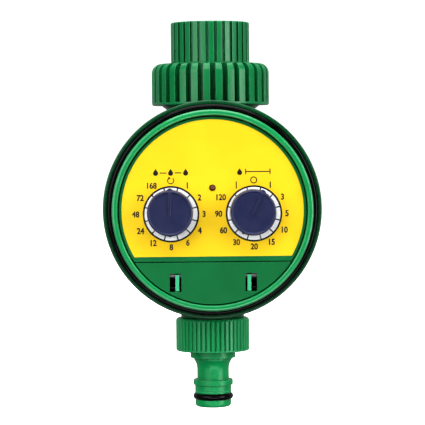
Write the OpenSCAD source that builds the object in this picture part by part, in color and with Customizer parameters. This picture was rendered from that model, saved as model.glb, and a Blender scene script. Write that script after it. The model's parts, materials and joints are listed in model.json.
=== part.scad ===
// Tap-mounted irrigation timer. The water passage runs down the Z axis from the
// tap thread at the origin. A drum-shaped body hangs on it, and its face looks along -Y.

/* [Drum] */
// Distance from the inlet mouth down to the centre of the face
drum_drop = 82.7; // [82.5:0.1:82.9]
// Outside diameter of the drum's front rim
rim_d = 94.6; // [94.2:0.2:95]
// Outside diameter of the drum behind the rim
drum_d = 87; // [86.8:0.1:87.2]
// Distance from the pipe axis forward to the rim's front edge
rim_front = 39; // [38.8:0.1:39.2]
// Distance from the pipe axis forward to the joint between the two housings
split_front = 21; // [20.9:0.05:21.1]
// Distance from the pipe axis back to the rear face
rear_depth = 26; // [25.8:0.1:27]

/* [Face] */
// Outside diameter of the face ring
ring_d = 86.2; // [86:0.1:86.4]
// Inside diameter of the face ring
ring_bore = 81.2; // [81:0.1:81.4]
// Distance from the pipe axis forward to the face ring's front edge
ring_front = 50.5; // [50.3:0.1:50.8]
// Distance from the pipe axis forward to the control panel's surface
panel_front = 48.5; // [48.4:0.1:48.6]
// Height of the panel's straight lower edge below the centre of the face
panel_drop = 21.7; // [21.5:0.1:21.9]

/* [Dials] */
// Distance of the left dial from the middle of the face
left_dial = 18.2; // [18:0.1:18.4]
// Distance of the right dial from the middle of the face
right_dial = 17.2; // [17:0.1:17.4]
// Drop of the dials below the middle of the face
dial_drop = 0.8; // [0.6:0.1:1]
// Diameter of a knob
knob_d = 19.7; // [19.3:0.2:20.1]
// Distance from the pipe axis forward to a knob's front face
knob_front = 58; // [57:0.5:59]
// Angle that the water time knob points to, clockwise from the top
duration_rest = 26; // [24:1:30]

/* [Inlet] */
// Outside diameter of the inlet nut
nut_d = 52.6; // [52.2:0.2:53]
// Number of grip ribs round the inlet nut
nut_ribs = 30; // [24:1:30]
// Outside diameter of the inlet adapter
adapter_d = 35.2; // [35:0.1:35.4]
// Number of grip ribs round the inlet adapter
adapter_ribs = 30; // [24:1:30]
// Bore of the adapter's tap thread
tap_bore = 26.6; // [26.5:0.1:26.8]

/* [Outlet] */
// Outside diameter of the outlet connector's grip
connector_d = 33.1; // [32.8:0.1:33.4]
// Number of fine ribs round the outlet connector
connector_ribs = 48; // [36:1:48]
// Outside diameter of the nipple's hose body
nipple_d = 16.4; // [16.2:0.1:16.6]

/* [Gears] */
// Gear module
gear_module = 0.8; // [0.8:0.1:0.8]
// Teeth on the output gear
output_teeth = 48; // [48:1:48]
// Teeth on the two idler wheels
wheel_teeth = 36; // [36:1:36]
// Teeth on every pinion
pinion_teeth = 12; // [12:1:12]

/* [Hidden] */
$fn = 96;

// A hair of overlap that keeps a cut from ending exactly on a face
eps = 0.05;
// Wall thickness of the housings
wall = 2.5;
rim_r = rim_d / 2;
drum_r = drum_d / 2;
ring_r = ring_d / 2;
ring_bore_r = ring_bore / 2;
nut_r = nut_d / 2;
adapter_r = adapter_d / 2;
connector_r = connector_d / 2;
knob_r = knob_d / 2;
frequency_x = -left_dial;
duration_x = right_dial;

// Depths are measured forward from the pipe axis
rim_back = rim_front - 10.5;
seat_front = rim_front - 2.9;
deck_back = split_front + 1.5;
deck_front = deck_back + 2;
flange_front = seat_front + 2.2;
panel_back = panel_front - 2;
board_front = panel_back - 4.7;
board_back = board_front - 1.6;
// Radii of the recess that holds the face seal, and of the room inside
recess_r = rim_r - 1.65;
room_r = drum_r - 2;
// Section radius of the cord in the step between the face ring and the rim
cord_r = (recess_r - ring_r) / 2 - 0.12;

// Radius of the room for a cell, the cells' drop below the middle of the face, their depths
cell_r = 5.25;
cell_drop = 27;
cell_depths = [deck_front + 0.5 + cell_r, deck_front + 0.5 + 3 * cell_r];
tray_front = deck_front + 21.7;

// Gear layers, from the valve forward: each is one wheel thick
gear_t = 1.9;
layer_a = 14.8;
layer_b = layer_a + 2.45;
layer_c = layer_b + 2.45;
// Centre distances of the gear pairs, and where the idlers and the motor sit
output_gap = gear_module * (output_teeth + pinion_teeth) / 2;
idler_gap = gear_module * (wheel_teeth + pinion_teeth) / 2;
second_pos = [-output_gap, 0];
first_dir = 40;
first_pos = second_pos + idler_gap * [cos(first_dir), sin(first_dir)];
motor_dir = 60;
motor_pos = first_pos + idler_gap * [cos(motor_dir), sin(motor_dir)];

// Screw places on the face plane, mirrored to both sides
case_screw_places = [[31.5, 22.1], [31.5, -22.1], [-31.5, 22.1], [-31.5, -22.1]];
bezel_screw_places = [[14, 35.1], [-14, 35.1], [33.5, -17.5], [-33.5, -17.5]];
board_screw_places = [[29, 13], [-29, 13], [0, -14]];

// Water passage levels, measured down from the inlet mouth
neck_top = -30.8;
nut_top = -18.4;
nut_foot = -37.1;
neck_cone_top = -37.4;
pipe_joint = -98.8;
boss_foot = -127.2;
flange_foot = -132.3;
thread_foot = -143.3;
connector_top = -132.6;
connector_foot = -147.3;
nipple_foot = -172.8;
tube_r = 12.5;
passage_r = 6.5;
ball_r = 8.6;
// Levels of the nipple's waist, collar, marking line and O-ring
waist_foot = connector_foot - 8.5;
collar_top = nipple_foot + 12.2;
collar_foot = nipple_foot + 9.85;
line_level = nipple_foot + 7.2;
o_ring_level = nipple_foot + 4.7;
o_ring_section = 1.45;
o_ring_r = nipple_d / 2 - 0.6;
// Foot of the tap thread, the pocket below it, and the seats of the two washers
thread_end = -15.9;
pocket_r = 12.6;
tap_seat = -18.8;
outlet_seat = connector_foot + 2.3;

// Moves the face plane onto the front of the drum: x stays, y is height and z is forward
module face_frame() translate([0, 0, -drum_drop]) rotate([90, 0, 0]) children();

// Turns a list of [radius, forward] points about the drum's axis
module drum_turn(points) face_frame() rotate_extrude() polygon(points);

// Turns a list of [radius, height] points about the pipe axis
module pipe_turn(points) rotate_extrude() polygon(points);

// Points of an arc from angle a0 to a1 about centre c
function arc(c, r, a0, a1, n = 6) =
    [for (i = [0:n]) c + r * [cos(a0 + (a1 - a0) * i / n), sin(a0 + (a1 - a0) * i / n)]];

// A round rod on the face plane from depth d0 forward to depth d1
module rod(place, r, d0, d1) face_frame() translate([place.x, place.y, d0])
    cylinder(r = r, h = d1 - d0);

// A block on the face plane, given by its low and high corners
module face_block(low, high) face_frame() translate(low) cube(high - low);

// A ring of round section about the pipe axis
module pipe_ring(r, section, z) translate([0, 0, z]) rotate_extrude()
    translate([r, 0]) circle(r = section, $fn = 32);

// A ring of round section about the drum's axis
module drum_ring(r, section, depth) face_frame() translate([0, 0, depth]) rotate_extrude()
    translate([r, 0]) circle(r = section, $fn = 32);

// A pan head screw with a cross recess, driven forward from its seat depth
module pan_screw(place, r, head_r, seat, tip) {
    head_h = head_r * 0.75;
    difference() {
        union() {
            rod(place, r, seat - eps, tip);
            face_frame() translate([place.x, place.y, seat - head_h]) rotate_extrude()
                polygon(concat([[0, 0], [head_r * 0.7, 0]],
                    arc([head_r * 0.7, head_h * 0.5], head_r * 0.3, -90, 0, 4),
                    [[head_r, head_h], [0, head_h]]));
        }
        for (turn = [0, 90]) face_frame() translate([place.x, place.y, seat - head_h])
            rotate([0, 0, turn]) cube([head_r * 1.2, head_r * 0.28, head_h], center = true);
    }
}

// Involute helpers: roll angle at radius r for base radius b, and the flank's polar angle
function involute_at(b, r) = let (t = sqrt(max(0, pow(r / b, 2) - 1))) t * 180 / PI - atan(t);

// Outline of a spur gear with a tooth centred on the x axis
function gear_outline(teeth) =
    let (pitch = gear_module * teeth / 2, base = pitch * cos(20),
         tip = pitch + gear_module * 0.85, root = pitch - gear_module * 1.25,
         start = max(base, root), backlash = 0.1,
         half = 90 / teeth - backlash * 90 / (PI * pitch),
         spread = half + involute_at(base, pitch),
         radii = [for (i = [0:3]) start + (tip - start) * i / 3],
         flank = [for (r = radii) [r, spread - involute_at(base, r)]])
    [for (k = [0:teeth - 1]) let (a = 360 * k / teeth) each concat(
        [root * [cos(a - spread), sin(a - spread)]],
        [for (p = flank) p[0] * [cos(a - p[1]), sin(a - p[1])]],
        [for (i = [3:-1:0]) flank[i][0] * [cos(a + flank[i][1]), sin(a + flank[i][1])]],
        [root * [cos(a + spread), sin(a + spread)]])];

// A gear wheel at a place on the face plane, its first tooth pointing in a direction
module gear_wheel(place, teeth, depth, direction) face_frame()
    translate([place.x, place.y, depth]) rotate([0, 0, direction])
    linear_extrude(gear_t) polygon(gear_outline(teeth));

// ---- Housings and water passage ----

// Rear shell with the inlet's neck and the outlet's boss moulded on
module rear_housing() color([0.07, 0.45, 0.26]) difference() {
    union() {
        drum_turn(concat([[0, -rear_depth]], arc([drum_r - 7, 7 - rear_depth], 7, -90, 0),
            [[drum_r, split_front], [0, split_front]]));
        pipe_turn([[0, neck_cone_top], [21.75, neck_cone_top], [19.5, neck_cone_top - 1.7],
            [19.5, neck_cone_top - 10.4], [0, neck_cone_top - 10.4]]);
        pipe_turn([[0, boss_foot + 6.4], [16, boss_foot + 6.4], [16, boss_foot + 1],
            [15, boss_foot], [0, boss_foot]]);
    }
    difference() {
        drum_turn(concat([[0, wall - rear_depth]], arc([room_r - 6, wall + 6 - rear_depth], 6,
            -90, 0), [[room_r, split_front + eps], [0, split_front + eps]]));
        for (p = case_screw_places) rod(p, 4.2, -rear_depth, split_front);
        difference() {
            translate([0, 0, boss_foot - 0.6]) cylinder(r = tube_r + 2, h = 92);
            rod([0, 0], room_r - 4, -rear_depth, split_front);
        }
    }
    translate([0, 0, boss_foot - 0.6]) cylinder(r = tube_r + 0.1, h = 92);
    for (p = case_screw_places) {
        rod(p, 1.3, -rear_depth, split_front + eps);
        rod(p, 3, -rear_depth - eps, 12 - rear_depth);
    }
    // Grooves that frame the rear face
    drum_turn([[26, -rear_depth - eps], [27, -rear_depth - eps], [27, 0.5 - rear_depth],
        [26, 0.5 - rear_depth]]);
    gasket(0.05);
}

// Front shell: the wide rim, a recess for the face and the deck that carries the gears
module front_housing() color([0.03, 0.32, 0.18]) difference() {
    union() {
        difference() {
            drum_turn(concat([[0, split_front], [drum_r, split_front], [drum_r, rim_back - 1],
                [drum_r + 0.6, rim_back]], arc([rim_r - 1.2, rim_back + 1.2], 1.2, -90, 0, 4),
                arc([rim_r - 0.7, rim_front - 0.7], 0.7, 0, 90, 4),
                arc([recess_r + 0.4, rim_front - 0.4], 0.4, 90, 180, 3),
                [[recess_r, seat_front], [room_r - 1, seat_front], [0, seat_front]]));
            rod([0, 0], room_r - 1, deck_front, seat_front + eps);
            rod([0, 0], room_r - 1, split_front - eps, deck_back);
        }
        for (p = case_screw_places) rod(p, 4.2, split_front, seat_front - 3);
        for (p = bezel_screw_places) rod(p, 2.8, deck_back, seat_front);
    }
    for (p = case_screw_places) rod(p, 1.3, split_front - eps, seat_front - 6);
    for (p = bezel_screw_places) {
        rod(p, 1.1, deck_back - eps, seat_front + eps);
        rod(p, 2.1, split_front - eps, deck_back + 1);
    }
    rod(motor_pos, 1.6, deck_back - eps, deck_front + eps);
    rod(second_pos, 1, deck_back - eps, deck_front + eps);
    rod(first_pos, 1, deck_back - eps, deck_front + eps);
    gasket(0.05);
}

// Square cord between the two housings, grown by some play to make its groove
module gasket(play) drum_turn([[drum_r - 1.5 - play, split_front - 0.5 - play],
    [drum_r - 0.5 + play, split_front - 0.5 - play],
    [drum_r - 0.5 + play, split_front + 0.5 + play],
    [drum_r - 1.5 - play, split_front + 0.5 + play]]);

module housing_seal() color([0.05, 0.05, 0.05]) gasket(0);

// Upright passage with the ball's chamber and the stem's boss
module valve_body() color([0.08, 0.48, 0.28]) difference() {
    union() {
        pipe_turn([[0, neck_top], [tube_r - 0.6, neck_top], [tube_r, neck_top - 0.6],
            [tube_r, pipe_joint], [0, pipe_joint]]);
        rod([0, 0], 6.5, 6, 14.2);
    }
    translate([0, 0, neck_top - 45]) cylinder(r = passage_r, h = 46);
    translate([0, 0, -drum_drop - 9]) cylinder(r = 9.2, h = 17.8);
    translate([0, 0, pipe_joint - eps]) cylinder(r = 11, h = 7.5);
    rod([0, 0], 2.55, 6, 14.3);
    drum_turn([[0, 11.2], [3.9, 11.2], [3.9, 12.6], [0, 12.6]]);
}

// Lower passage: a spigot, a collar and the thread for the connector
module outlet_pipe() color([0.1, 0.52, 0.3]) difference() {
    pipe_turn([[0, pipe_joint + 7.3], [10.4, pipe_joint + 7.3], [10.9, pipe_joint + 6.8],
        [10.9, pipe_joint], [tube_r, pipe_joint - 0.1], [tube_r, boss_foot - 0.2],
        [14.2, boss_foot - 0.3], [14.2, flange_foot + 0.4], [13.8, flange_foot],
        [12.7, flange_foot], [12.7, thread_foot + 0.8], [11.9, thread_foot],
        [0, thread_foot]]);
    translate([0, 0, thread_foot - eps]) cylinder(r = passage_r, h = 52);
    for (turn = [0:3]) translate([0, 0, flange_foot - 3 - turn * 1.8])
        pipe_turn([[12.1, 0], [12.8, 0.45], [12.8, -0.45]]);
}

// Split ring that keeps the nut on the neck
module retaining_ring() color([0.85, 0.85, 0.82]) difference() {
    pipe_turn([[tube_r, neck_top - 0.6], [15.8, neck_top - 0.6], [16.2, neck_top - 1],
        [16.2, neck_top - 2.6], [tube_r, neck_top - 2.6]]);
    translate([0, 10, neck_top - 5]) cube([1.6, 10, 6]);
}

// Flat rubber washer on top of the neck
module inlet_washer() color([0.08, 0.08, 0.08]) difference() {
    pipe_turn([[passage_r, neck_top + 2], [15.6, neck_top + 2], [15.6, neck_top],
        [passage_r, neck_top]]);
}

// Two plastic seats that hold the ball from above and below
module ball_seats() color([0.9, 0.9, 0.88]) difference() {
    for (side = [-1, 1]) translate([0, 0, -drum_drop + side * 7.1]) difference() {
        cylinder(r = 9.1, h = 3.2, center = true);
        cylinder(r = 5.2, h = 4, center = true);
    }
    translate([0, 0, -drum_drop]) sphere(r = ball_r + 0.1);
}

module stem_seal() color([0.05, 0.05, 0.05]) drum_ring(3.24, 0.62, 11.9);

// ---- Face ----

// Face ring with its foot under the seal, and the screw posts inside it
module front_bezel() color([0.12, 0.63, 0.38]) difference() {
    union() {
        drum_turn(concat([[ring_bore_r - 0.4, seat_front], [recess_r - 0.3, seat_front],
            [recess_r - 0.3, flange_front], [ring_r, flange_front]],
            arc([ring_r - 1, ring_front - 1], 1, 0, 90, 5),
            arc([ring_bore_r + 0.7, ring_front - 0.7], 0.7, 90, 180, 4),
            [[ring_bore_r - 0.4, panel_back - 1]]));
        intersection() {
            for (p = bezel_screw_places) rod(p, 2.8, seat_front, panel_back - 0.1);
            rod([0, 0], ring_bore_r, seat_front, panel_back);
        }
    }
    for (p = bezel_screw_places) rod(p, 1.1, seat_front - eps, panel_back - 3);
}

// Rubber ring in the step between the face ring and the rim
module face_seal() color([0.03, 0.03, 0.03]) drum_ring((ring_r + recess_r) / 2, cord_r,
    flange_front + cord_r);

// Disc cut off along a level line, from depth d0 to d1
module face_segment(r, level, d0, d1, above = true) face_frame() intersection() {
    translate([0, 0, d0]) cylinder(r = r, h = d1 - d0);
    translate([-60, above ? level : level - 120, d0 - 1]) cube([120, 120, d1 - d0 + 2]);
}

// Panel behind the label, with the posts that carry the circuit board
module control_panel() color([0.06, 0.45, 0.25]) difference() {
    union() {
        face_segment(ring_bore_r - 0.6, -panel_drop, panel_back, panel_front);
        for (p = board_screw_places) rod(p, 2.2, board_front, panel_back + eps);
    }
    for (x = [frequency_x, duration_x]) rod([x, -dial_drop], 3, panel_back - eps, panel_front + eps);
    rod([0, 9.7], 1.4, panel_back - eps, panel_front + eps);
    for (p = board_screw_places) rod(p, 0.9, board_front - eps, panel_back + 0.5);
    // Shallow bed that the label lies in
    face_segment(ring_bore_r - 1.6, 2 - panel_drop, panel_front - 0.3, panel_front + eps);
}

module face_label() color([1, 0.88, 0.13]) difference() {
    face_segment(ring_bore_r - 1.7, 2.1 - panel_drop, panel_front - 0.3, panel_front - 0.05);
    for (x = [frequency_x, duration_x]) rod([x, -dial_drop], 3.1, panel_back, panel_front + eps);
    rod([0, 9.7], 1.45, panel_back, panel_front + eps);
}

// Battery door: the rest of the face, with a slot for each latch
module battery_door() color([0.07, 0.48, 0.25]) difference() {
    union() {
        face_segment(ring_bore_r - 0.6, -panel_drop - 0.4, panel_front - 1.1, panel_front + 0.7,
            false);
        // Stiffening ledge behind the upper edge
        face_block([-19, -panel_drop - 2, panel_front - 1.9],
            [19, -panel_drop - 0.9, panel_front - 1]);
    }
    for (side = [-1, 1]) face_block([side * 16.15 - 2.5, -34.6, panel_front - 4],
        [side * 16.15 + 2.5, -26.8, panel_front + 2]);
}

// Latch: a finger tab in the slot, a foot behind the door and a leg that ends in a catch
module latch(side) color([0.35, 0.78, 0.55]) {
    x = side * 15.4;
    face_block([x - 0.8, -34.3, 46.4], [x + 0.8, -27.4, panel_front + 0.5]);
    face_block([x - 0.8, -35.6, 46.4], [x + 0.8, -34.2, 47.1]);
    face_block([x - 0.8, -35.6, 39], [x + 0.8, -34.4, 46.5]);
    catch_x = x + side * 1.2;
    face_block([catch_x - 0.4, -35.6, 39], [catch_x + 0.4, -34.4, 40.5]);
}
module left_latch() latch(-1);
module right_latch() latch(1);

// ---- Electronics ----

// Board with the corner notches left by its round outline
module circuit_board() color([0.1, 0.35, 0.15]) difference() {
    face_segment(34.6, 1.2 - panel_drop, board_back, board_front);
    for (p = board_screw_places) rod(p, 1.1, board_back - eps, board_front + eps);
}

// Indicator with a domed lens on a short body
module status_led() color([0.35, 0.03, 0.03]) {
    rod([0, 9.7], 1.2, 44, panel_front - 0.2);
    face_frame() translate([0, 9.7, panel_front - 0.2]) difference() {
        sphere(r = 1.2, $fn = 48);
        translate([-2, -2, -4]) cube([4, 4, 4]);
    }
    for (x = [-1, 1]) rod([x * 0.7, 9.7], 0.25, board_front, 44 + eps);
}

// Rotary switch with a bore for the knob's spindle
module rotary_switch(x) color([0.12, 0.12, 0.13]) difference() {
    union() {
        rod([x, -dial_drop], 7.5, board_front, panel_back - 0.5);
        face_block([x - 8, -dial_drop - 3, board_front], [x + 8, 3 - dial_drop, board_front + 2]);
    }
    rod([x, -dial_drop], 2.05, board_front + 0.6, panel_back);
}
module frequency_switch() rotary_switch(frequency_x);
module duration_switch() rotary_switch(duration_x);

// Chip with a row of legs on two sides
module microcontroller() color([0.08, 0.08, 0.08]) {
    face_block([8, 4, board_back - 1.9], [16, 9.5, board_back - 0.2]);
    for (k = [0:4], h = [3.4, 9.4]) face_block([8.7 + k * 1.5, h, board_back - 0.6],
        [9.3 + k * 1.5, h + 0.7, board_back]);
}

module capacitor() color([0.1, 0.15, 0.45]) rod([-20, 16], 2.5, board_back - 8, board_back);

// Tray for the two cells, closed by the deck's side and open to the door
module battery_tray() color([0.15, 0.15, 0.15]) difference() {
    intersection() {
        face_block([-24.3, -cell_drop - cell_r - 1.2, deck_front],
            [24.3, cell_r + 1.2 - cell_drop, tray_front]);
        rod([0, 0], ring_bore_r - 0.9, deck_front, tray_front);
    }
    face_block([-23.4, -cell_drop - cell_r - 0.4, deck_front + 0.4],
        [23.4, cell_r + 0.4 - cell_drop, tray_front + 1]);
}

// Two AAA cells lying across, one behind the other
module battery_cells() color([0.75, 0.75, 0.78]) for (k = [0, 1]) face_frame()
    translate([k == 0 ? -21.7 : 21.7, -cell_drop, cell_depths[k]])
    rotate([0, k == 0 ? 90 : -90, 0]) {
        cylinder(r = cell_r - 0.05, h = 43.3);
        cylinder(r = 1.9, h = 44.3);
    }

// Contact plates at both ends, with tabs forward to the board
module battery_contacts() color([0.8, 0.8, 0.75]) for (side = [-1, 1]) {
    low_x = side > 0 ? 23 : -23.4;
    face_block([low_x, -cell_drop - 3.5, deck_front + 2], [low_x + 0.4, 3.5 - cell_drop,
        tray_front - 2.5]);
}

// Tapered springs that press on the cells' flat ends
module contact_springs() color([0.8, 0.8, 0.78]) for (k = [0, 1]) face_frame()
    translate([k == 0 ? -23 : 23, -cell_drop, cell_depths[k]])
    rotate([0, k == 0 ? 90 : -90, 0]) difference() {
        cylinder(r1 = 3.6, r2 = 2.4, h = 1.3);
        translate([0, 0, -eps]) cylinder(r1 = 2.9, r2 = 1.7, h = 1.4);
    }

// ---- Drive ----

// Can motor on the deck, flattened on two sides, with its boss and terminals
module gear_motor() color([0.7, 0.7, 0.72]) {
    intersection() {
        rod(motor_pos, 6, deck_front, board_back - 0.6);
        face_block([motor_pos.x - 7, motor_pos.y - 5, deck_front],
            [motor_pos.x + 7, motor_pos.y + 5, board_back]);
    }
    rod(motor_pos, 1.5, deck_back, deck_front + eps);
    rod(motor_pos, 0.5, layer_c - 0.3, deck_back + eps);
    for (x = [-3.5, 3.5]) face_block([motor_pos.x + x - 0.6, motor_pos.y - 0.2, board_back - 1],
        [motor_pos.x + x + 0.6, motor_pos.y + 0.2, board_back]);
}

module gear_pins() color([0.75, 0.75, 0.78]) {
    rod(second_pos, 0.98, layer_a - 0.2, deck_front);
    rod(first_pos, 0.98, layer_b - 0.2, deck_front);
}

// Switch that reads the cam, hung from the deck
module limit_switch() color([0.1, 0.1, 0.12]) {
    face_block([12, -3, layer_b + 0.2], [24, 3, deck_back]);
    face_block([8.6, -1.2, layer_b + 0.6], [12.1, 1.2, layer_b + 1.4]);
}

// Idlers: a large wheel in one layer and a pinion behind it in the next
module idler(place, wheel_depth, wheel_dir, pinion_dir) color([0.92, 0.92, 0.9]) difference() {
    union() {
        gear_wheel(place, wheel_teeth, wheel_depth, wheel_dir);
        gear_wheel(place, pinion_teeth, wheel_depth - 2.45, pinion_dir);
        rod(place, 3.4, wheel_depth - 0.7, wheel_depth + eps);
    }
    rod(place, 1.05, wheel_depth - 3, wheel_depth + 3);
}
module second_idler() idler(second_pos, layer_b, first_dir + 180 / wheel_teeth, 0);
module first_idler() idler(first_pos, layer_c, motor_dir + 180 / wheel_teeth, first_dir + 180);

module motor_pinion() color([0.9, 0.85, 0.6]) difference() {
    gear_wheel(motor_pos, pinion_teeth, layer_c, motor_dir + 180);
    rod(motor_pos, 0.52, layer_c - 1, layer_c + 3);
}

// Output gear with a notched cam on its front
module output_gear() color([0.92, 0.92, 0.9]) difference() {
    union() {
        gear_wheel([0, 0], output_teeth, layer_a, 180 + 180 / output_teeth);
        rod([0, 0], 8, layer_a + gear_t - eps, layer_a + gear_t + 1.6);
    }
    rod([0, 0], 2, layer_a - 1, layer_a + 5);
    for (turn = [0:90:270]) face_frame() rotate([0, 0, turn + 45])
        translate([7.4, -1, layer_a + gear_t]) cube([2, 2, 2]);
}

// Stem from the ball's slot through the boss to the output gear
module valve_stem() color([0.85, 0.75, 0.45]) {
    rod([0, 0], 2.5, 8.7, layer_a - 0.2);
    rod([0, 0], 1.96, layer_a - 0.3, layer_a + gear_t + 1.4);
    face_block([-0.9, -2.4, 6.4], [0.9, 2.4, 8.75]);
}

// Ball with its passage lying level, which shuts the water off
module valve_ball() color([0.85, 0.85, 0.88]) difference() {
    translate([0, 0, -drum_drop]) sphere(r = ball_r);
    translate([0, 0, -drum_drop]) rotate([0, 90, 0]) cylinder(r = 4.8, h = 20, center = true);
    face_block([-1, -5, 6.3], [1, 5, 9]);
}

// ---- Screws ----

module case_screws() color([0.75, 0.75, 0.77]) for (p = case_screw_places)
    pan_screw(p, 1.2, 2.6, 12 - rear_depth, seat_front - 7);

module bezel_screws() color([0.75, 0.75, 0.77]) for (p = bezel_screw_places)
    pan_screw(p, 1, 1.8, deck_back + 1, panel_back - 4);

module board_screws() color([0.75, 0.75, 0.77]) for (p = board_screw_places)
    pan_screw(p, 0.85, 1.7, board_back, panel_back);

// ---- Dials ----

// Knob cap: a rounded disc with a raised pointer ridge and a pointed nub at its rim
module knob_cap(x, pointing) color([0.14, 0.15, 0.33]) face_frame()
    translate([x, -dial_drop, 0]) rotate([0, 0, -pointing]) difference() {
        union() {
            rotate_extrude() polygon(concat([[0, panel_front + 0.5],
                [knob_r, panel_front + 0.5]],
                arc([knob_r - 0.9, knob_front - 0.9], 0.7, 0, 90, 5),
                [[knob_r - 1.3, knob_front - 0.6], [0, knob_front - 0.6]]));
            translate([0, 0, knob_front - 1]) linear_extrude(1)
                polygon([[-0.25, -knob_r * 0.1], [0.25, -knob_r * 0.1], [0.7, knob_r - 1],
                    [-0.7, knob_r - 1]]);
            translate([0, 0, panel_front + 0.5]) linear_extrude(knob_front - panel_front - 1.6)
                polygon([[-1.9, knob_r - 0.6], [1.9, knob_r - 0.6], [0.35, knob_r + 0.65],
                    [-0.35, knob_r + 0.65]]);
            translate([0, 0, panel_front + 0.5]) linear_extrude(2) polygon([[-1.4, 0.5 - knob_r],
                [1.4, 0.5 - knob_r], [0.3, -knob_r - 0.4], [-0.3, -knob_r - 0.4]]);
        }
        translate([0, 0, panel_front]) cylinder(r = 2.02, h = 6);
    }
module frequency_knob() knob_cap(frequency_x, 0);
module duration_knob() knob_cap(duration_x, duration_rest);

// Spindle from the knob down into its switch
module spindle(x) color([0.85, 0.85, 0.85]) rod([x, -dial_drop], 2, board_front + 0.8,
    panel_front + 5.9);
module frequency_spindle() spindle(frequency_x);
module duration_spindle() spindle(duration_x);

// ---- Inlet ----

// Nut with deep slots between its ribs, which run out at the rounded top
module inlet_nut() color([0.08, 0.6, 0.35]) {
    rib_pitch = 360 / nut_ribs;
    slot_w = 2.5;
    slot_floor = nut_r - 4.6;
    first_slot = 1.8;
    shoulder = 4.2;
    lip_bore = tube_r + 0.3;
    difference() {
        pipe_turn(concat([[nut_r - 7.2, nut_top], [nut_r - shoulder, nut_top]],
            arc([nut_r - shoulder, nut_top - shoulder], shoulder, 90, 0),
            [[nut_r, nut_foot + 0.5], [nut_r - 0.5, nut_foot], [lip_bore, nut_foot],
            [lip_bore, nut_foot + 3.2], [16.6, nut_foot + 3.2], [16.6, nut_top]]));
        for (k = [0:nut_ribs - 1]) rotate([0, 0, first_slot + k * rib_pitch - 90])
            translate([slot_floor, -slot_w / 2, nut_foot + 1.2])
            cube([6, slot_w, nut_top - nut_foot]);
    }
}

// Notch between two grip ribs: floor radius, rim radius and half widths at both
module rib_notch(floor_r, rim, half_floor, half_rim, z0, z1) translate([0, 0, z0])
    linear_extrude(z1 - z0) polygon([[floor_r, -half_floor], [rim, -half_rim],
        [rim, half_rim], [floor_r, half_floor]]);

// Adapter: a ribbed grip with the tap thread inside and a male thread below
module inlet_adapter() color([0.08, 0.55, 0.32]) difference() {
    pipe_turn(concat([[tap_bore / 2, 0], [adapter_r - 0.6, 0]],
        arc([adapter_r - 0.6, -0.6], 0.6, 90, 0, 3),
        [[adapter_r, nut_top + 0.3], [16.5, nut_top + 0.3], [16.5, neck_top + 3.2],
        [15.7, neck_top + 2.3], [9, neck_top + 2.3], [9, tap_seat], [pocket_r, tap_seat],
        [pocket_r, thread_end], [tap_bore / 2, thread_end]]));
    for (k = [0:adapter_ribs - 1]) rotate([0, 0, 7.3 + k * 360 / adapter_ribs - 90])
        rib_notch(adapter_r - 1.2, adapter_r + 0.3, 0.45, 0.85, nut_top, 1);
    for (turn = [0:3]) translate([0, 0, nut_top - 2.2 - turn * 2])
        pipe_turn([[15.7, 0], [16.6, 0.5], [16.6, -0.5]]);
}

// Rubber washer at the bottom of the tap thread
module tap_washer() color([0.08, 0.08, 0.08]) difference() {
    translate([0, 0, tap_seat]) cylinder(r = pocket_r - 0.2, h = 2.2);
    translate([0, 0, tap_seat - 0.2]) cylinder(r = 8.6, h = 4);
}

// Cup strainer that hangs through the washer
module filter_screen() color([0.85, 0.85, 0.85]) difference() {
    pipe_turn([[0, -27], [6.4, -27], [7.4, tap_seat + 2.2], [12, tap_seat + 2.2],
        [12, tap_seat + 2.7], [6.9, tap_seat + 2.7], [6, -26.5], [0, -26.5]]);
    for (k = [0:11], row = [0:3]) rotate([0, 0, k * 30])
        translate([4, -0.6, -25.6 + row * 2.2]) cube([6, 1.2, 1.3]);
}

// ---- Outlet ----

// Connector: a finely ribbed grip moulded in one with a quick-connect nipple
module outlet_connector() color([0.12, 0.6, 0.36]) {
    body_r = nipple_d / 2;
    neck_r = body_r - 1;
    groove_half = o_ring_section + 0.05;
    groove_floor = o_ring_r - o_ring_section - 0.05;
    difference() {
        pipe_turn(concat([[12.8, connector_top], [connector_r - 1.3, connector_top]],
            arc([connector_r - 1.3, connector_top - 1.3], 1.3, 90, 0, 4),
            [[connector_r, connector_foot + 0.3], [connector_r - 0.3, connector_foot],
            [10.15, connector_foot], [10.15, connector_foot - 3.2],
            [9.95, connector_foot - 3.4], [8.6, connector_foot - 3.5]],
            arc([neck_r + 7.2, waist_foot], 7.2, 144.3, 180, 5),
            [[neck_r, collar_top + 0.1], [body_r + 0.6, collar_top],
            [body_r + 0.75, collar_top - 0.2], [body_r + 0.75, collar_foot + 0.2],
            [body_r + 0.6, collar_foot], [body_r, collar_foot - 0.1],
            [body_r, line_level + 0.2], [body_r - 0.2, line_level],
            [body_r, line_level - 0.2], [body_r, o_ring_level + groove_half],
            [groove_floor, o_ring_level + groove_half],
            [groove_floor, o_ring_level - groove_half],
            [body_r - 0.1, o_ring_level - groove_half]],
            arc([body_r - 1.4, nipple_foot + 1.3], 1.3, 0, -90, 4),
            [[4.5, nipple_foot], [4.5, outlet_seat - 0.8], [5.5, outlet_seat],
            [12.8, outlet_seat]]));
        for (k = [0:connector_ribs - 1]) rotate([0, 0, (k + 0.5) * 360 / connector_ribs - 90])
            rib_notch(connector_r - 0.8, connector_r + 0.3, 0.05, 0.8, connector_foot + 0.8,
                connector_top + 1);
    }
}

module nipple_seal() color([0.03, 0.03, 0.03])
    pipe_ring(o_ring_r, o_ring_section, o_ring_level);

module outlet_washer() color([0.08, 0.08, 0.08]) difference() {
    translate([0, 0, outlet_seat]) cylinder(r = 12.5, h = 1.5);
    translate([0, 0, outlet_seat - 1]) cylinder(r = passage_r, h = 4);
}

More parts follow.
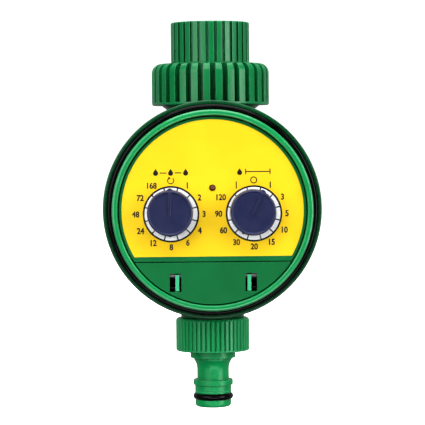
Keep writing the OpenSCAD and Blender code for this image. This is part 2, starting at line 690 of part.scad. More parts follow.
rear_housing();
front_housing();
valve_body();
outlet_pipe();
front_bezel();
control_panel();
face_label();
face_seal();
housing_seal();
circuit_board();
status_led();
frequency_switch();
duration_switch();
microcontroller();
capacitor();
battery_tray();
battery_cells();
battery_contacts();
contact_springs();
gear_motor();
gear_pins();
limit_switch();
inlet_washer();
retaining_ring();
ball_seats();
stem_seal();
case_screws();
bezel_screws();
board_screws();
inlet_nut();
inlet_adapter();
tap_washer();
filter_screen();
outlet_connector();
nipple_seal();
outlet_washer();
frequency_knob();
frequency_spindle();
duration_knob();
duration_spindle();
battery_door();
left_latch();
right_latch();
valve_ball();
valve_stem();
output_gear();
second_idler();
first_idler();
motor_pinion();
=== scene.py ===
# %% [markdown]
# # A tap timer for drip irrigation
# The real object is a green plastic drum that hangs from a garden tap. Its yellow face has two
# dials, and a small battery door closes the face's lower part. Every part that moves or fits is
# already there as a fixed frame, in metres, so this lesson adds what a camera sees: finishes,
# print, threads, light. Loading the frame first means that each later piece can ask it for places.

# %% The frame and its measurements
import json
import math

import bmesh
import bpy
from mathutils import Matrix, Vector


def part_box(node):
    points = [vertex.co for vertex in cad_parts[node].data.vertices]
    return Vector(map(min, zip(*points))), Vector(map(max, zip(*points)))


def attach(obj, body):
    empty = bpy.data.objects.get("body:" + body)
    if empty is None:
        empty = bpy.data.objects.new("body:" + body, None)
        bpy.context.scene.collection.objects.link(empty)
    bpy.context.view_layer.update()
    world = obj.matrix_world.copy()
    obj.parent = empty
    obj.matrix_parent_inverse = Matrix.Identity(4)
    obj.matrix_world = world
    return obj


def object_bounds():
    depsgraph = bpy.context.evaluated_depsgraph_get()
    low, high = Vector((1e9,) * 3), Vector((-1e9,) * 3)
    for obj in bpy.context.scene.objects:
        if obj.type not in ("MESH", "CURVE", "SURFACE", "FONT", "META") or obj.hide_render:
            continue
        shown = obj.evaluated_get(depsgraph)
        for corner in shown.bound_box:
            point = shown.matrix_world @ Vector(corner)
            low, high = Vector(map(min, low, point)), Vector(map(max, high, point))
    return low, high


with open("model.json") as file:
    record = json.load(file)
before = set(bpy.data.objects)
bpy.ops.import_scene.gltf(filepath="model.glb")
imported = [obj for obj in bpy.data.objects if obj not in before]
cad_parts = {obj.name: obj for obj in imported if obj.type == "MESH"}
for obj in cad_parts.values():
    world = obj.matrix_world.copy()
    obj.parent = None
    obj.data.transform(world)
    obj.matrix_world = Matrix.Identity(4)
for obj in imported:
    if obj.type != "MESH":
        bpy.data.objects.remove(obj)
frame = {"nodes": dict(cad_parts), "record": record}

MM = 0.001
cad_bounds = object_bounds()
print("overall size, mm:", [round((hi - lo) / MM, 1) for lo, hi in zip(*cad_bounds)])

# %% [markdown]
# ## A camera far enough away to flatten the drum
# A studio camera stands well back and uses a long lens, so that circles stay circles. This one
# stands 0.9 m from the pipe axis, a little above the dials, and looks slightly down.
# It is turned rather than shifted, which keeps every other view of the object natural.

# %% Camera
drum_low, drum_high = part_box("front_housing")
drum_centre_z = (drum_low.z + drum_high.z) / 2
camera_data = bpy.data.cameras.new("camera")
camera_data.lens = 169.2
camera_data.clip_start = 0.05
camera = bpy.data.objects.new("camera", camera_data)
camera.location = (-9 * MM, -0.9, drum_centre_z + 30.5 * MM)
turned_right, tipped_down, rolled = math.radians(0.6), math.radians(2.107), math.radians(-0.54)
aim = Matrix.Rotation(-turned_right, 4, "Z") @ Matrix.Rotation(math.pi / 2 - tipped_down, 4, "X")
camera.rotation_euler = (aim @ Matrix.Rotation(rolled, 4, "Z")).to_euler()
bpy.context.scene.collection.objects.link(camera)
bpy.context.scene.camera = camera
print("camera above the face centre, mm:", round((camera.location.z - drum_centre_z) / MM, 1))

# %% [markdown]
# ## Writing shader maths as sentences
# A finish is a network of nodes, which is slow to read as a list of links. This small class wraps
# one socket, so that `1 - mask` or `wave * 0.2` adds the Math node by itself. Every other node
# comes from `Finish.node`, which takes its type, its settings and what its sockets hold.

# %% Shader helper
class Wire:
    """One output socket of a finish, which takes part in sums and products."""

    def __init__(self, finish, socket):
        self.finish, self.socket = finish, socket

    def _math(self, operation, *terms):
        return self.finish.node("ShaderNodeMath", {"operation": operation}, dict(enumerate(terms)))

    def __add__(self, other):
        return self._math("ADD", self, other)

    def __sub__(self, other):
        return self._math("SUBTRACT", self, other)

    def __rsub__(self, other):
        return self._math("SUBTRACT", other, self)

    def __mul__(self, other):
        return self._math("MULTIPLY", self, other)

    __radd__, __rmul__ = __add__, __mul__


# %% [markdown]
# The other half of the helper holds one material. Its constants go straight onto the shader's own
# sockets, and only what changes over the surface is linked.

# %% One finish
class Finish:
    """A node material for one of the object's finishes, with its Principled shader ready."""

    def __init__(self, name, **constants):
        self.material = bpy.data.materials.new(name)
        self.material.use_nodes = True
        self.tree = self.material.node_tree
        self.shader = self.tree.nodes["Principled BSDF"]
        for socket, value in constants.items():
            self.shader.inputs[socket.replace("_", " ")].default_value = value

    def node(self, kind, settings=None, inputs=None, output=0):
        made = self.tree.nodes.new(kind)
        for setting, value in (settings or {}).items():
            setattr(made, setting, value)
        for socket, value in (inputs or {}).items():
            self.put(made.inputs[socket], value)
        return Wire(self, made.outputs[output])

    def put(self, socket, value):
        if isinstance(value, Wire):
            self.tree.links.new(value.socket, socket)
        else:
            socket.default_value = value

    def drive(self, **sockets):
        for name, value in sockets.items():
            self.put(self.shader.inputs[name.replace("_", " ")], value)
        return self

    def place(self):
        """Where a point lies on the object, in millimetres, so that grain has a real size."""
        coordinates = self.node("ShaderNodeTexCoord", output="Object")
        return self.node("ShaderNodeVectorMath", {"operation": "SCALE"},
                         {0: coordinates, "Scale": 1 / MM})

    def noise(self, per_mm, detail=2.0, roughness=0.5, seed_shift=0.0):
        shifted = self.node("ShaderNodeVectorMath", {"operation": "ADD"},
                            {0: self.place(), 1: (seed_shift, seed_shift, seed_shift)})
        return self.node("ShaderNodeTexNoise", {},
                         {"Vector": shifted, "Scale": per_mm, "Detail": detail,
                          "Roughness": roughness})

    def blend(self, factor, low, high):
        """One colour turning into another as the factor goes from 0 to 1."""
        return self.node("ShaderNodeMix", {"data_type": "RGBA"},
                         {0: factor, 6: low, 7: high}, output=2)

    def span(self, value, low, high, to_low=0.0, to_high=1.0):
        """A value between low and high, stretched and clipped to a new span."""
        return self.node("ShaderNodeMapRange", {},
                         {0: value, 1: low, 2: high, 3: to_low, 4: to_high})

    def bump(self, height, strength, distance_mm, normal=None):
        inputs = {"Height": height, "Strength": strength, "Distance": distance_mm * MM}
        if normal is not None:
            inputs["Normal"] = normal
        return self.node("ShaderNodeBump", {}, inputs)

    def soft_edge(self, radius_mm):
        """A normal that rounds every sharp edge, as a mould does."""
        return self.node("ShaderNodeBevel", {"samples": 4}, {"Radius": radius_mm * MM})

    def edge_mask(self, rounded):
        """Nearly 0 on flat ground and rising where the rounded normal leaves the true one."""
        true_normal = self.node("ShaderNodeNewGeometry", output="True Normal")
        alike = self.node("ShaderNodeVectorMath", {"operation": "DOT_PRODUCT"},
                          {0: rounded, 1: true_normal}, output="Value")
        return self.span(1 - alike, 0.004, 0.12)

    def slot_shade_mask(self, reach_mm):
        """Near 1 deep in a narrow slot of the same part, and 0 on open ground: where shade is
        painted.
        """
        openness = self.node("ShaderNodeAmbientOcclusion", {"samples": 4, "only_local": True},
                             {"Distance": reach_mm * MM}, output="AO")
        return self.span(openness, 0.35, 0.85, 1.0, 0.0)


def srgb(red, green, blue):
    """A colour given as a screen shows it, from 0 to 255, in the linear light that shaders use."""
    def linear(channel):
        share = channel / 255
        return share / 12.92 if share <= 0.04045 else ((share + 0.055) / 1.055) ** 2.4
    return (linear(red), linear(green), linear(blue), 1.0)


print("finish helper ready, for example deep green:", [round(c, 3) for c in srgb(8, 70, 35)])

# %% [markdown]
# ## Moulded plastic
# Nearly all of the object is injection moulded. Such plastic is never one flat colour: the
# pigment flows in faint clouds, the tool leaves a fine grain, and every sharp edge of the mould
# comes out slightly round and catches a thin line of light. That line comes partly from a rounded
# normal and partly from a paler colour painted along the edge, a painted highlight. One function
# makes that surface, and each part gives it a colour, a roughness and how strong the grain is.
# Where a part has ribs, the narrow slots between them are painted nearly black, a painted shade
# for the light they lose. An Ambient Occlusion node finds them by how little open space a point
# has around it, and one argument says how dark the painted shade gets.

# %% Plastic finishes
def moulded_plastic(name, colour, edge_highlight_colour, roughness, grain=0.25, edge_mm=0.25, coat=0.0,
                    specular=0.5, painted_shade=0.0):
    finish = Finish(name, Specular_IOR_Level=specular, Coat_Weight=coat, Coat_Roughness=0.12)
    clouds = finish.noise(0.06, detail=3.0)
    darker = tuple(c * 0.84 for c in colour[:3]) + (1.0,)
    body = finish.blend(finish.span(clouds, 0.3, 0.7), darker, colour)
    # Painted shade: deep in narrow slots the colour turns nearly black, standing in for the shade
    # there
    if painted_shade:
        shade_colour = tuple(c * 0.08 for c in colour[:3]) + (1.0,)
        body = finish.blend(finish.slot_shade_mask(2.5) * painted_shade, body, shade_colour)
    rounded = finish.soft_edge(edge_mm)
    # Painted highlight: a paler colour is mixed into the base colour along every rounded edge
    edges = finish.edge_mask(rounded)
    specks = finish.noise(3.0, detail=2.0, seed_shift=7.0)
    smears = finish.noise(0.25, detail=4.0, roughness=0.65, seed_shift=3.0)
    finish.drive(
        Base_Color=finish.blend(edges * 0.55, body, edge_highlight_colour),
        Roughness=roughness + finish.span(smears, 0.35, 0.7, -0.05, 0.07),
        Normal=finish.bump(specks, grain, 0.012, rounded))
    return finish.material


housing_green = moulded_plastic("housing_green", srgb(4, 80, 42), srgb(70, 190, 135), 0.3,
                                specular=0.3)
ring_green = moulded_plastic("ring_green", srgb(18, 158, 90), srgb(120, 225, 175), 0.2, 0.1,
                             edge_mm=0.4, coat=0.4)
panel_green = moulded_plastic("panel_green", srgb(3, 114, 60), srgb(60, 175, 115), 0.42,
                              specular=0.3)
latch_green = moulded_plastic("latch_green", srgb(70, 195, 140), srgb(140, 230, 190), 0.3)
nut_green = moulded_plastic("nut_green", srgb(4, 128, 70), srgb(110, 225, 170), 0.32, edge_mm=0.35,
                            specular=0.4, painted_shade=0.9)
connector_green = moulded_plastic("connector_green", srgb(12, 168, 96), srgb(130, 235, 180), 0.34,
                                  specular=0.35, painted_shade=0.5)
knob_blue = moulded_plastic("knob_blue", srgb(32, 40, 80), srgb(96, 92, 140), 0.36,
                            grain=0.35, edge_mm=0.2)
black_plastic = moulded_plastic("black_plastic", srgb(12, 14, 13), srgb(40, 42, 41), 0.55,
                                specular=0.3)
natural_nylon = moulded_plastic("natural_nylon", srgb(232, 232, 222), srgb(245, 245, 240), 0.45)
print("moulded finishes:", len([m for m in bpy.data.materials if m.use_nodes]))

# %% [markdown]
# ## Printed film, rubber and metal
# The yellow label is a film with a satin varnish: nearly flat, with a faint orange peel. The
# seals are black rubber under a smear of grease, which is why they show such sharp highlights.
# Inside there are a few metals and a circuit board, seen only when the battery door is off.

# %% Label and rubber
def label_film():
    finish = Finish("label_film", Specular_IOR_Level=0.35)
    tone = finish.noise(0.05, detail=2.0)
    peel = finish.noise(1.4, detail=1.0, seed_shift=5.0)
    fibres = finish.noise(6.0, detail=2.0, seed_shift=11.0)
    yellow = finish.blend(finish.span(tone, 0.35, 0.65), srgb(250, 206, 20), srgb(255, 214, 28))
    finish.drive(
        Base_Color=yellow,
        Roughness=finish.span(fibres, 0.3, 0.7, 0.44, 0.54),
        Normal=finish.bump(peel, 0.08, 0.02))
    return finish.material


def rubber(name, colour, roughness, coat):
    finish = Finish(name, Specular_IOR_Level=0.15, Coat_Weight=coat, Coat_Roughness=0.08)
    grease = finish.noise(0.2, detail=4.0, roughness=0.6)
    finish.drive(
        Base_Color=finish.blend(finish.span(grease, 0.4, 0.7), colour, srgb(18, 18, 19)),
        Roughness=roughness + finish.span(grease, 0.35, 0.7, -0.06, 0.12),
        Normal=finish.bump(finish.noise(1.5, detail=2.0), 0.1, 0.02))
    return finish.material


seal_rubber = rubber("seal_rubber", srgb(2, 2, 2), 0.22, coat=0.0)
washer_rubber = rubber("washer_rubber", srgb(24, 24, 25), 0.55, coat=0.0)
label = label_film()
print("label varnish and two rubbers made")

# %% [markdown]
# A metal differs from plastic in one number, Metallic, and in how its surface is marked. Fine
# lines that run one way make a turned or rolled part. They come from noise squeezed along one
# direction, which costs less than drawing each scratch.

# %% Metals
def worked_metal(name, colour, roughness, line_scale=(2.0, 2.0, 0.1)):
    finish = Finish(name, Metallic=1.0)
    squeezed = finish.node("ShaderNodeVectorMath", {"operation": "MULTIPLY"},
                           {0: finish.place(), 1: line_scale})
    lines = finish.node("ShaderNodeTexNoise", {}, {"Vector": squeezed, "Scale": 2.0, "Detail": 3.0})
    stain = finish.noise(0.3, detail=3.0, seed_shift=2.0)
    dull = tuple(c * 0.75 for c in colour[:3]) + (1.0,)
    finish.drive(
        Base_Color=finish.blend(finish.span(stain, 0.45, 0.75), colour, dull),
        Roughness=finish.span(lines, 0.3, 0.7, roughness - 0.06, roughness + 0.12),
        Normal=finish.bump(lines, 0.15, 0.01, finish.soft_edge(0.1)))
    return finish.material


bright_steel = worked_metal("bright_steel", srgb(200, 202, 206), 0.32)
contact_nickel = worked_metal("contact_nickel", srgb(214, 208, 196), 0.28)
brass = worked_metal("brass", srgb(205, 170, 95), 0.3)
ball_chrome = worked_metal("ball_chrome", srgb(220, 222, 226), 0.1)
print("metals:", [m.name for m in (bright_steel, contact_nickel, brass, ball_chrome)])

# %% [markdown]
# The light between the dials is a tinted resin dome: dark red when off, with a hot point of
# reflection. The board's solder mask is a glossy green lacquer over a faint weave, and the cells
# wear a plain shrink sleeve with no print.

# %% Small electrical finishes
def led_resin():
    finish = Finish("led_lens", Roughness=0.12, Coat_Weight=0.6, Coat_Roughness=0.05)
    swirl = finish.noise(1.0, detail=1.0)
    finish.drive(Base_Color=finish.blend(swirl, srgb(70, 14, 10), srgb(104, 26, 18)))
    return finish.material


def solder_mask():
    finish = Finish("board_laminate", Coat_Weight=0.4)
    weave = finish.node("ShaderNodeTexWave", {"wave_type": "BANDS"},
                        {"Vector": finish.place(), "Scale": 1.2, "Distortion": 0.6})
    finish.drive(
        Base_Color=finish.blend(finish.noise(0.4), srgb(14, 74, 40), srgb(24, 100, 56)),
        Roughness=finish.span(weave, 0.0, 1.0, 0.3, 0.42),
        Normal=finish.bump(weave, 0.1, 0.01))
    return finish.material


def shrink_sleeve(name, colour):
    finish = Finish(name, Roughness=0.3, Coat_Weight=0.2)
    wrinkles = finish.noise(0.8, detail=3.0)
    pale = tuple(min(1.0, c * 1.2) for c in colour[:3]) + (1.0,)
    finish.drive(Base_Color=finish.blend(finish.noise(0.15), colour, pale),
                 Normal=finish.bump(wrinkles, 0.1, 0.03))
    return finish.material


cell_jacket = shrink_sleeve("cell_jacket", srgb(20, 21, 24))
capacitor_sleeve = shrink_sleeve("capacitor_sleeve", srgb(36, 52, 110))
led_lens = led_resin()
board_laminate = solder_mask()
print("electrical finishes ready")

# %% [markdown]
# ## Handing each part its finish
# The frame's record already says which finish slot each part belongs to, so one loop gives every
# part its material. Nothing else is needed: the parts arrive with their true normals, so turned
# surfaces already look round and corners crisp.

# %% Finishes onto parts
finishes = {
    "housing_green": housing_green, "ring_green": ring_green, "panel_green": panel_green,
    "latch_green": latch_green, "nut_green": nut_green, "connector_green": connector_green,
    "label_film": label, "seal_rubber": seal_rubber, "washer_rubber": washer_rubber,
    "board_laminate": board_laminate, "led_lens": led_lens, "black_plastic": black_plastic,
    "capacitor_sleeve": capacitor_sleeve, "cell_jacket": cell_jacket,
    "contact_nickel": contact_nickel, "bright_steel": bright_steel,
    "natural_nylon": natural_nylon, "brass": brass, "ball_chrome": ball_chrome,
    "knob_blue": knob_blue}

for subpart in frame["record"]["subparts"]:
    part = frame["nodes"][subpart["node"]]
    part.data.materials.clear()
    part.data.materials.append(finishes[subpart["material_slot"]])

# %% [markdown]
# ## Helpers for thin pieces on the face
# Print lies on the label as a layer of ink, a few hundredths of a millimetre thick. Building it
# as thin meshes keeps its edges sharp at any distance, where an image would blur. The face looks
# along -Y, so a flat drawing in x and z is pushed forward to make a slab.

# %% Slabs of ink
label_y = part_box("face_label")[0].y


def new_piece(name, mesh_maker, material, body):
    """Turns a bmesh into a named piece that rides on a body."""
    mesh = bpy.data.meshes.new(name)
    mesh_maker.normal_update()
    mesh_maker.to_mesh(mesh)
    mesh_maker.free()
    mesh.materials.append(material)
    piece = bpy.data.objects.new(name, mesh)
    bpy.context.scene.collection.objects.link(piece)
    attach(piece, body)
    return piece


def ink_slab(ink, outline, back_y, thickness):
    """Adds a closed slab: a flat outline of (x, z) points, standing forward from back_y."""
    back = [ink.verts.new((x, back_y, z)) for x, z in outline]
    front = [ink.verts.new((x, back_y - thickness, z)) for x, z in outline]
    ink.faces.new(list(reversed(back)))
    ink.faces.new(front)
    count = len(outline)
    for k in range(count):
        after = (k + 1) % count
        ink.faces.new((back[k], back[after], front[after], front[k]))


def ring_piece(ink, centre, inner, outer, start, end, back_y, thickness):
    """Adds part of a ring, or a whole one, with angles counted clockwise from the top."""
    whole = end - start >= 360
    count = max(2, round((end - start) / 4))
    sections = []
    for k in range(count if whole else count + 1):
        turn = math.radians(start + (end - start) * k / count)
        sections.append([
            ink.verts.new((centre[0] + r * math.sin(turn), y, centre[1] + r * math.cos(turn)))
            for r, y in ((inner, back_y), (outer, back_y), (outer, back_y - thickness),
                         (inner, back_y - thickness))])
    following = sections[1:] + (sections[:1] if whole else [])
    for here, there in zip(sections, following):
        for j in range(4):
            ink.faces.new((here[j], here[j - 1], there[j - 1], there[j]))
    if not whole:
        ink.faces.new(sections[0])
        ink.faces.new(list(reversed(sections[-1])))


print("label surface at y, mm:", round(label_y / MM, 2))

# %% [markdown]
# ## The dial scales
# Round each knob lies a white ring, cut into twelve fields by dark ticks and closed by a dark
# line. On the real label it is three printings: white, then dark blue-black over it. The ticks
# stand half a step away from the numbers, so that the pointer lands in the middle of a field.
# The label was laid a hair to the right of the knobs and below them, so each ring is shifted by
# that much, and the white shows wider on one side.

# %% Print colours
def printing_ink(name, colour, roughness):
    finish = Finish(name, Specular_IOR_Level=0.4)
    patchy = finish.noise(1.2, detail=3.0)
    thin = tuple(min(1.0, c * 1.12 + 0.004) for c in colour[:3]) + (1.0,)
    finish.drive(Base_Color=finish.blend(finish.span(patchy, 0.4, 0.7), colour, thin),
                 Roughness=finish.span(patchy, 0.3, 0.7, roughness - 0.05, roughness + 0.05),
                 Normal=finish.bump(patchy, 0.05, 0.01))
    return finish.material


dark_ink = printing_ink("dark_ink", srgb(6, 6, 9), 0.5)
white_ink = printing_ink("white_ink", srgb(250, 252, 255), 0.5)
INK = 0.03 * MM
print("inks:", dark_ink.name, white_ink.name)

# %% Scales
def knob_centre(node):
    """Middle of a dial, from the spindle that carries the knob."""
    low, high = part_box(node)
    return ((low.x + high.x) / 2, (low.z + high.z) / 2)


PRINT_RIGHT, PRINT_DOWN = 0.42 * MM, 0.6 * MM
dials = {}
for dial in ("frequency", "duration"):
    knob_x, knob_z = knob_centre(dial + "_spindle")
    dials[dial] = (knob_x + PRINT_RIGHT, knob_z - PRINT_DOWN)
scale_inner, scale_outer, outline_outer = 8.6 * MM, 11.3 * MM, 12.05 * MM
fields = 12
tick_turn = 2.8

for dial, centre in dials.items():
    white = bmesh.new()
    ring_piece(white, centre, scale_inner, scale_outer, 0, 360, label_y, INK)
    new_piece(dial + "_scale", white, white_ink, "housing")
    dark = bmesh.new()
    ring_piece(dark, centre, scale_outer, outline_outer, 0, 360, label_y, 1.5 * INK)
    for k in range(fields):
        middle = (k + 0.5) * 360 / fields
        ring_piece(dark, centre, scale_inner, scale_outer - 0.01 * MM, middle - tick_turn / 2,
                   middle + tick_turn / 2, label_y - INK, INK)
    new_piece(dial + "_ticks", dark, dark_ink, "housing")
print("dial centres, mm:", {d: [round(v / MM, 1) for v in c] for d, c in dials.items()})

# %% [markdown]
# ## Numbers
# The numbers stand upright round each dial. Blender's own font gives their outlines. Each number
# is made as a text object, turned into a mesh, scaled to one height and joined into one piece
# per dial, so the label stays a handful of pieces and not fifty. The strokes are then made bolder
# by moving each outline outwards by a tenth of a millimetre.

# %% Number meshes
NUMBER_HEIGHT = 2.45 * MM
NUMBER_NARROWING = 0.88
BOLDER = 0.11 * MM


def thicken(flat, distance):
    """Pushes a flat mesh's outline outward, corners by more, so that its strokes get bolder."""
    pushes = {}
    for edge in (e for e in flat.edges if e.is_boundary):
        along = (edge.verts[1].co - edge.verts[0].co).normalized()
        outward = Vector((along.y, -along.x, 0))
        if outward.dot(edge.link_faces[0].calc_center_median() - edge.verts[0].co) > 0:
            outward = -outward
        for vert in edge.verts:
            pushes.setdefault(vert, []).append(outward)
    for vert, normals in pushes.items():
        both = sum(normals, Vector())
        vert.co += both * distance / max(0.5, both.length_squared / 2)


def number_mesh(text):
    """A flat mesh of a number, centred on the origin in x and y, of the standard height."""
    curve = bpy.data.curves.new("number", "FONT")
    curve.body = text
    curve.resolution_u = 4
    holder = bpy.data.objects.new("number", curve)
    mesh = bpy.data.meshes.new_from_object(holder)
    bpy.data.objects.remove(holder)
    bpy.data.curves.remove(curve)
    xs, ys = zip(*((v.co.x, v.co.y) for v in mesh.vertices))
    size = NUMBER_HEIGHT / (max(ys) - min(ys))
    centring = Matrix.Translation((-(min(xs) + max(xs)) / 2, -(min(ys) + max(ys)) / 2, 0))
    mesh.transform(Matrix.Diagonal((size * NUMBER_NARROWING, size, size, 1)) @ centring)
    flat = bmesh.new()
    flat.from_mesh(mesh)
    bmesh.ops.remove_doubles(flat, verts=flat.verts, dist=0.001 * MM)
    thicken(flat, BOLDER)
    flat.to_mesh(mesh)
    flat.free()
    return mesh


def print_numbers(name, numbers):
    """Joins (text, x, z) numbers into one slab of ink on the label."""
    ink = bmesh.new()
    for text, x, z in numbers:
        mesh = number_mesh(text)
        mesh.transform(Matrix.Translation((x, label_y, z)) @ Matrix.Rotation(math.pi / 2, 4, "X"))
        ink.from_mesh(mesh)
        bpy.data.meshes.remove(mesh)
    bmesh.ops.remove_doubles(ink, verts=ink.verts, dist=0.001 * MM)
    thickened = bmesh.ops.extrude_face_region(ink, geom=ink.faces[:])
    moved = [v for v in thickened["geom"] if isinstance(v, bmesh.types.BMVert)]
    bmesh.ops.translate(ink, vec=(0, -INK, 0), verts=moved)
    bmesh.ops.recalc_face_normals(ink, faces=ink.faces[:])
    return new_piece(name, ink, dark_ink, "housing")


print("number height, mm:", round(NUMBER_HEIGHT / MM, 2))

# %% [markdown]
# The steps follow the real dials: hours between waterings on the left, minutes of water on the
# right. The printed words of the original are left out. In their places stand numbers, such as
# 168 hours for a week, and plain signs that any appliance could carry.

# %% Numbers round the dials
hour_steps = {1: "1", 2: "2", 3: "3", 4: "4", 5: "6", 6: "8", 7: "12", 8: "24", 9: "48",
              10: "72", 11: "168"}
minute_steps = {1: "1", 2: "3", 3: "5", 4: "10", 5: "15", 6: "20", 7: "30", 8: "60", 9: "90",
                10: "120"}
NUMBER_ORBIT = 14.1 * MM
# Wider numbers stand further out, so that they clear the ring
PER_DIGIT = 1.0 * MM


def placed_numbers(steps, centre):
    places = []
    for step, text in steps.items():
        turn = math.radians(step * 360 / fields)
        reach_x = NUMBER_ORBIT + PER_DIGIT * (len(text) - 1)
        places.append((text, centre[0] + reach_x * math.sin(turn),
                       centre[1] + NUMBER_ORBIT * math.cos(turn)))
    return places


for dial, steps in (("frequency", hour_steps), ("duration", minute_steps)):
    numbers = print_numbers(dial + "_numbers", placed_numbers(steps, dials[dial]))
    print(numbers.name, "faces:", len(numbers.data.polygons))

# %% [markdown]
# ## Plain signs
# Three shapes say what the printed words used to say. A drop is water, a turning arrow is a
# repeat or a reset, and a level bar between two stops is a length of time. An open ring and an
# upright stroke are the usual signs for off and on. Each is a flat outline from a few points or
# a formula, laid down as ink like the numbers.

# %% Sign outlines
def drop_outline(x, z, size):
    """A water drop: most of a circle, drawn up to a point."""
    round_part = [math.radians(130 + 280 * k / 16) for k in range(17)]
    radius = 0.36 * size
    low = z - 0.14 * size
    return ([(x + radius * math.cos(t), low + radius * math.sin(t)) for t in round_part]
            + [(x, z + 0.5 * size)])


def bar_outline(x, z, half_x, half_z):
    return [(x - half_x, z - half_z), (x + half_x, z - half_z), (x + half_x, z + half_z),
            (x - half_x, z + half_z)]


def turning_arrow(ink, x, z, radius):
    """Most of a ring with an arrow head at its end."""
    stroke = 0.26 * radius
    ring_piece(ink, (x, z), radius - stroke, radius, 40, 320, label_y, INK)
    head_x, head_z = x - radius * 0.56, z + radius * 0.67
    ink_slab(ink, [(head_x + 0.62 * radius, head_z + 0.1 * radius),
                   (head_x - 0.1 * radius, head_z + 0.5 * radius),
                   (head_x - 0.05 * radius, head_z - 0.4 * radius)], label_y, INK)


SIGN = 3 * MM
HEADING_RISE = 17.9 * MM
SECOND_RISE = 14.3 * MM
STROKE = 0.22 * MM
print("sign height, mm:", round(SIGN / MM, 2))

# %% Signs over the dials
left_x, left_z = dials["frequency"]
right_x, right_z = dials["duration"]
step_turn = math.radians(360 / fields)
DROP_SPACING = 6.4 * MM
SHORT_BAR_HALF = 1.4 * MM
LONG_BAR_HALF = 5.2 * MM
STOP_HALF = 1.2 * MM

often = bmesh.new()
heading_z = left_z + HEADING_RISE
for shift in (-DROP_SPACING, 0, DROP_SPACING):
    ink_slab(often, drop_outline(left_x + shift, heading_z, SIGN), label_y, INK)
for shift in (-DROP_SPACING / 2, DROP_SPACING / 2):
    bar = bar_outline(left_x + shift, heading_z - 0.3 * MM, SHORT_BAR_HALF, STROKE)
    ink_slab(often, bar, label_y, INK)
turning_arrow(often, left_x, left_z + SECOND_RISE, SIGN / 2)
new_piece("frequency_signs", often, dark_ink, "housing")

how_long = bmesh.new()
heading_z = right_z + HEADING_RISE
bar_x = right_x + 1.8 * MM
ink_slab(how_long, drop_outline(right_x - 6 * MM, heading_z, SIGN), label_y, INK)
ink_slab(how_long, bar_outline(bar_x, heading_z, LONG_BAR_HALF, STROKE), label_y, INK)
for stop_x in (bar_x - LONG_BAR_HALF, bar_x + LONG_BAR_HALF):
    ink_slab(how_long, bar_outline(stop_x, heading_z, STROKE, STOP_HALF), label_y, INK)
# An open ring for off, and to its left an upright stroke for always on
ring_piece(how_long, (right_x, right_z + SECOND_RISE), SIGN / 2 - 2 * STROKE, SIGN / 2, 0, 360,
           label_y, INK)
on_x = right_x - NUMBER_ORBIT * math.sin(step_turn) - 0.4 * MM
on_z = right_z + NUMBER_ORBIT * math.cos(step_turn)
ink_slab(how_long, bar_outline(on_x, on_z, STROKE, SIGN / 2), label_y, INK)
new_piece("duration_signs", how_long, dark_ink, "housing")
print("signs laid over both dials, heading height mm:", round(heading_z / MM, 1))

# %% [markdown]
# ## A real thread in the tap mouth
# The tap screws into a G3/4 thread of 14 turns to the inch. A thread is one ridge that climbs in
# a helix, so it is swept: the same small triangle is placed at many steps along the helix and
# joined to the last. Both ends are run down to nothing, as a moulded thread's are.

# %% Swept thread
def helical_ridge(name, wall_radius, depth, pitch, low_z, high_z, material, body):
    ridge = bmesh.new()
    per_turn = 48
    steps = round((high_z - low_z) / pitch * per_turn)
    sections = []
    for k in range(steps + 1):
        turn = 2 * math.pi * k / per_turn
        run_in = min(1.0, k / 12, (steps - k) / 12)
        crest = wall_radius - depth * max(run_in, 0.02)
        middle = low_z + (high_z - low_z) * k / steps
        half = 0.42 * pitch
        sections.append([
            ridge.verts.new((r * math.cos(turn), r * math.sin(turn), middle + lift))
            for r, lift in ((wall_radius + 0.05 * MM, -half), (crest, -0.1 * half),
                            (crest, 0.1 * half), (wall_radius + 0.05 * MM, half))])
    for here, there in zip(sections, sections[1:]):
        for j in range(4):
            ridge.faces.new((here[j - 1], here[j], there[j], there[j - 1]))
    ridge.faces.new(list(reversed(sections[0])))
    ridge.faces.new(sections[-1])
    return new_piece(name, ridge, material, body)


adapter_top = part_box("inlet_adapter")[1].z
washer_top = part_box("tap_washer")[1].z
tap_radius = frame["record"]["mounts"][0]["dims"]["r_mm"] * MM
TAP_PITCH = 25.4 / 14 * MM
thread_low = washer_top + 1.6 * MM
thread_high = adapter_top - 1.2 * MM
helical_ridge("tap_thread", tap_radius, 1.0 * MM, TAP_PITCH, thread_low, thread_high, nut_green,
              "inlet_adapter")
print("tap thread turns:", round((thread_high - thread_low) / TAP_PITCH, 1))

# %% [markdown]
# ## Floor and light
# The studio is plain: a pale floor, a pale surround, and soft light from broad boxes at both
# sides, above and below the camera, and overhead. The surround is bright behind the object and
# dim in front of it. Faces that look at the camera then keep their full colour, and only the
# flanks, which mirror what is behind, turn pale at the edge, as they do before a white backdrop.

# %% Studio
def studio_floor():
    finish = Finish("studio_floor", Roughness=0.9, Specular_IOR_Level=0.1,
                    Emission_Strength=0.9)
    drift = finish.noise(0.004, detail=1.0)
    finish.drive(Base_Color=finish.blend(drift, (0.9, 0.9, 0.9, 1), (0.94, 0.94, 0.94, 1)),
                 Emission_Color=(1, 1, 1, 1))
    return finish.material


floor_mesh = bmesh.new()
bmesh.ops.create_grid(floor_mesh, x_segments=4, y_segments=4, size=3.0)
floor_data = bpy.data.meshes.new("floor")
floor_mesh.to_mesh(floor_data)
floor_mesh.free()
floor_data.materials.append(studio_floor())
floor = bpy.data.objects.new("floor", floor_data)
floor.location.z = cad_bounds[0][2] - 3 * MM
bpy.context.scene.collection.objects.link(floor)
floor.visible_glossy = False
floor.visible_diffuse = False
print("floor height, mm:", round(floor.location.z / MM, 1))

# %% [markdown]
# A soft box is an area light: the bigger it is against its distance, the softer its shadow. Each
# one is placed, then turned to look at the middle of the face. The surround is mixed by the kind
# of ray: the camera sees pure white, while the object is lit by a direction-dependent grey.

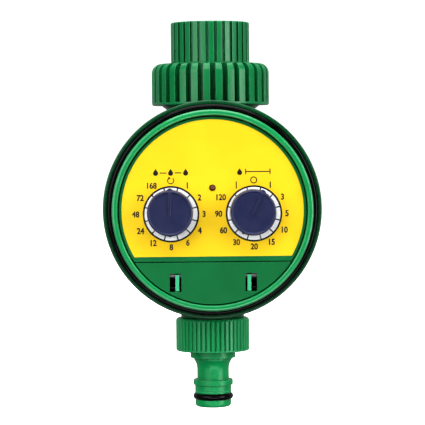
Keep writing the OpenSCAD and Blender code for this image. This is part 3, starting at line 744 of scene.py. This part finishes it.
# %% Lights
def soft_box(name, place, target, width, height, watts):
    data = bpy.data.lights.new(name, "AREA")
    data.shape, data.size, data.size_y, data.energy = "RECTANGLE", width, height, watts
    light = bpy.data.objects.new(name, data)
    light.location = place
    light.rotation_euler = (Vector(target) - Vector(place)).to_track_quat("-Z", "Y").to_euler()
    bpy.context.scene.collection.objects.link(light)
    return light


middle = (0, -0.03, drum_centre_z)
soft_box("key_left", (-0.75, -0.95, 0.25), middle, 0.9, 1.1, 10)
soft_box("key_right", (1.0, -0.7, 0.05), middle, 0.6, 1.2, 13)
soft_box("above_camera", (0.05, -0.95, 0.95), middle, 1.2, 0.5, 8)
soft_box("low_fill", (0.1, -1.1, -0.6), middle, 1.4, 0.4, 9)
soft_box("top_light", (0, 0.1, 0.9), middle, 0.9, 0.9, 8)

world = bpy.data.worlds.new("surround")
world.use_nodes = True
surround = world.node_tree


def surround_node(kind, **inputs):
    made = surround.nodes.new(kind)
    for socket, value in inputs.items():
        made.inputs[socket.replace("_", " ")].default_value = value
    return made


direction = surround_node("ShaderNodeTexCoord")
parts_of_direction = surround_node("ShaderNodeSeparateXYZ")
behind = surround_node("ShaderNodeMapRange", From_Min=-0.2, From_Max=0.6, To_Min=0.08, To_Max=0.4)
seen_white = surround_node("ShaderNodeBackground", Color=(1, 1, 1, 1))
lighting = surround_node("ShaderNodeBackground", Color=(1, 1, 1, 1))
which_ray = surround_node("ShaderNodeLightPath")
either = surround_node("ShaderNodeMixShader")
for out_socket, in_socket in (
        (direction.outputs["Generated"], parts_of_direction.inputs[0]),
        (parts_of_direction.outputs["Y"], behind.inputs["Value"]),
        (behind.outputs["Result"], lighting.inputs["Strength"]),
        (which_ray.outputs["Is Camera Ray"], either.inputs["Fac"]),
        (lighting.outputs["Background"], either.inputs[1]),
        (seen_white.outputs["Background"], either.inputs[2]),
        (either.outputs["Shader"], surround.nodes["World Output"].inputs["Surface"])):
    surround.links.new(out_socket, in_socket)
bpy.context.scene.world = world
bpy.context.scene.view_settings.view_transform = "Standard"
bpy.context.scene.view_settings.look = "Medium High Contrast"
